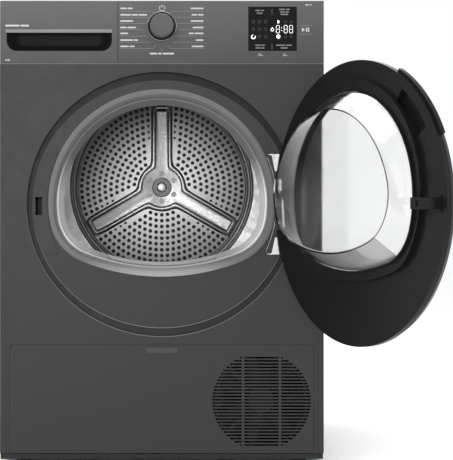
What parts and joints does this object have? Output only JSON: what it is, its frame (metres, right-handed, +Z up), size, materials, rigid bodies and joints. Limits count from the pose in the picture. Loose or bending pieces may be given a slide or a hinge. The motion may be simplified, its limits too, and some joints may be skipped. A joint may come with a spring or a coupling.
{
  "type": "clothes dryer",
  "caption": "Front-loading tumble dryer with an open round glazed door, perforated drum, pull-out water tank, program knob, lint filter and hinged kick flap.",
  "frame": {"origin": "on the floor, at the middle of the four feet", "axes": "+X to the right seen from the front, +Y from the front to the back, +Z up"},
  "size_m": [0.7529, 1.0213, 0.856],
  "materials": {
    "aluminium_fins": "satin",
    "anthracite_paint": "satin",
    "anthracite_plastic": "satin",
    "black_enamel": "satin",
    "black_plastic": "matte",
    "chrome": "polished",
    "circuit_board": "satin",
    "clear_plastic": "gloss",
    "copper": "satin",
    "dark_plastic": "satin",
    "felt": "matte",
    "galvanised_steel": "matte",
    "light_grey_plastic": "satin",
    "mesh_screen": "matte",
    "mid_grey_plastic": "satin",
    "rubber": "matte",
    "smoked_glass": "gloss",
    "stainless_steel": "satin",
    "white_plastic": "satin"
  },
  "bodies": {
    "cabinet": {"base_tray": "black_plastic", "feet": "rubber", "front_panel": "anthracite_paint", "left_side_panel": "anthracite_paint", "right_side_panel": "anthracite_paint", "back_panel": "galvanised_steel", "cabinet_screws": "chrome", "rear_duct_cover": "black_plastic", "mains_inlet": "black_plastic", "worktop": "anthracite_paint", "control_panel": "anthracite_plastic", "display_window": "smoked_glass", "control_board": "circuit_board", "tank_housing": "black_plastic", "loading_ring": "mid_grey_plastic", "front_bulkhead": "black_plastic", "drum_seals": "felt", "latch_cover": "mid_grey_plastic", "hinge_bracket": "chrome", "bearing_housing": "galvanised_steel", "drive_belt": "rubber", "drive_motor": "galvanised_steel", "fan_housing": "black_plastic", "heat_exchanger_housing": "dark_plastic", "heat_exchanger_coils": "aluminium_fins", "evaporator_cover": "dark_plastic", "compressor": "black_enamel", "refrigerant_pipes": "copper", "condensate_pump": "white_plastic", "condensate_hose": "rubber", "cooling_fan_shroud": "black_plastic"},
    "door": {"door_outer_ring": "dark_plastic", "door_outer_glass": "smoked_glass", "door_inner_ring": "dark_plastic", "door_bowl": "clear_plastic", "bowl_deflector": "light_grey_plastic", "door_latch_tongue": "dark_plastic", "door_hinge_arm": "chrome"},
    "drum": {"drum_shell": "stainless_steel", "drum_back": "stainless_steel", "drum_lifters": "dark_plastic", "drum_shaft": "galvanised_steel"},
    "knob": {"program_knob": "anthracite_plastic", "knob_ring": "anthracite_plastic"},
    "tank": {"tank_tub": "light_grey_plastic", "tank_lid": "light_grey_plastic", "tank_front": "anthracite_plastic"},
    "flap": {"kick_flap": "anthracite_paint"},
    "button": {"flap_button": "anthracite_plastic"},
    "lint_filter": {"lint_filter_frame": "dark_plastic", "lint_filter_mesh": "mesh_screen"},
    "rotor": {"motor_pulley_shaft": "galvanised_steel", "fan_impeller": "black_plastic"},
    "tensioner": {"tensioner_arm": "galvanised_steel"},
    "idler": {"idler_pulley": "white_plastic"},
    "left_roller_body": {"left_roller": "white_plastic"},
    "right_roller_body": {"right_roller": "white_plastic"},
    "cooling_fan_body": {"cooling_fan": "black_plastic"},
    "left_lever": {"left_cover_lever": "mid_grey_plastic"},
    "right_lever": {"right_cover_lever": "mid_grey_plastic"}
  },
  "joints": [
    {"name": "door_swing", "type": "hinge", "parent": "cabinet", "child": "door", "pos_m": [0.2252, -0.308, 0.4795], "axis": [0, 0, 1], "range_deg": [-118, 32]},
    {"name": "tank_slide", "type": "slide", "parent": "cabinet", "child": "tank", "axis": [0, -1, 0], "range_m": [0, 0.42]},
    {"name": "knob_turn", "type": "hinge", "parent": "cabinet", "child": "knob", "pos_m": [0, -0.284, 0.8075], "axis": [0, -1, 0], "continuous": true},
    {"name": "drum_spin", "type": "hinge", "parent": "cabinet", "child": "drum", "pos_m": [0, 0, 0.5194], "axis": [0, 1, 0], "continuous": true},
    {"name": "motor_spin", "type": "hinge", "parent": "cabinet", "child": "rotor", "pos_m": [0.04, 0, 0.12], "axis": [0, 1, 0], "continuous": true},
    {"name": "tensioner_swing", "type": "hinge", "parent": "cabinet", "child": "tensioner", "pos_m": [0.114, -0.03, 0.062], "axis": [0, 1, 0], "range_deg": [0, 12], "stiffness_Nm_per_rad": 3, "springref_deg": -17.19},
    {"name": "idler_spin", "type": "hinge", "parent": "tensioner", "child": "idler", "pos_m": [0.11938, -0.02, 0.17856], "axis": [0, 1, 0], "continuous": true},
    {"name": "left_roller_spin", "type": "hinge", "parent": "cabinet", "child": "left_roller_body", "pos_m": [-0.143, -0.2, 0.31519], "axis": [0, 1, 0], "continuous": true},
    {"name": "right_roller_spin", "type": "hinge", "parent": "cabinet", "child": "right_roller_body", "pos_m": [0.143, -0.2, 0.31519], "axis": [0, 1, 0], "continuous": true},
    {"name": "cooling_fan_spin", "type": "hinge", "parent": "cabinet", "child": "cooling_fan_body", "pos_m": [0.1837, -0.26, 0.1164], "axis": [0, -1, 0], "continuous": true},
    {"name": "kick_flap_hinge", "type": "hinge", "parent": "cabinet", "child": "flap", "pos_m": [0, -0.2806, 0.026], "axis": [1, 0, 0], "range_deg": [0, 90]},
    {"name": "flap_button_press", "type": "slide", "parent": "flap", "child": "button", "axis": [0, 1, 0], "range_m": [0, 0.0015], "stiffness_N_per_m": 400, "springref_m": -0.0005},
    {"name": "left_lever_turn", "type": "hinge", "parent": "cabinet", "child": "left_lever", "pos_m": [-0.218, -0.265, 0.118], "axis": [0, 1, 0], "range_deg": [0, 90]},
    {"name": "right_lever_turn", "type": "hinge", "parent": "cabinet", "child": "right_lever", "pos_m": [-0.102, -0.265, 0.118], "axis": [0, -1, 0], "range_deg": [0, 90]},
    {"name": "lint_filter_slide", "type": "slide", "parent": "cabinet", "child": "lint_filter", "axis": [0, 0, 1], "range_m": [0, 0.15]}
  ],
  "couplings": [
    {"joint": "motor_spin", "follows": "drum_spin", "ratio": 32.686},
    {"joint": "idler_spin", "follows": "drum_spin", "ratio": -19.067},
    {"joint": "left_roller_spin", "follows": "drum_spin", "ratio": -11.45},
    {"joint": "right_roller_spin", "follows": "drum_spin", "ratio": -11.45}
  ]
}
